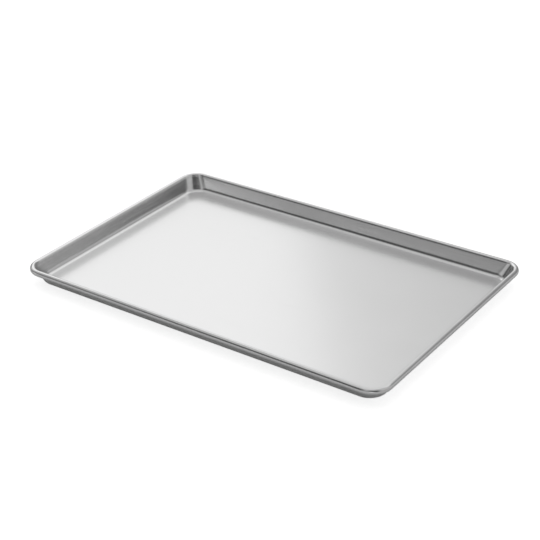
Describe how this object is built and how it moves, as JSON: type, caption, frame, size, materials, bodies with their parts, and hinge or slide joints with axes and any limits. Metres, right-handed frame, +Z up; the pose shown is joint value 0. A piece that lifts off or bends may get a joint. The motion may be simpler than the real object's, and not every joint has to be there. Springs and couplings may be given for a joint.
{
  "type": "jelly roll pan",
  "caption": "Shallow rectangular baking pan of satin sheet metal with flared walls, rounded corners and a rolled rim that wraps a wire.",
  "frame": {"origin": "under the middle of the pan, on the surface that its base stands on", "axes": "+X along the long side, +Y along the short side, +Z up out of the pan's mouth"},
  "size_m": [0.438, 0.292, 0.019],
  "materials": {
    "pan_sheet": "satin, fine mill grain",
    "rim_wire": "galvanised"
  },
  "bodies": {
    "root": {"pan_shell": "pan_sheet", "rim_wire": "rim_wire"}
  },
  "joints": []
}
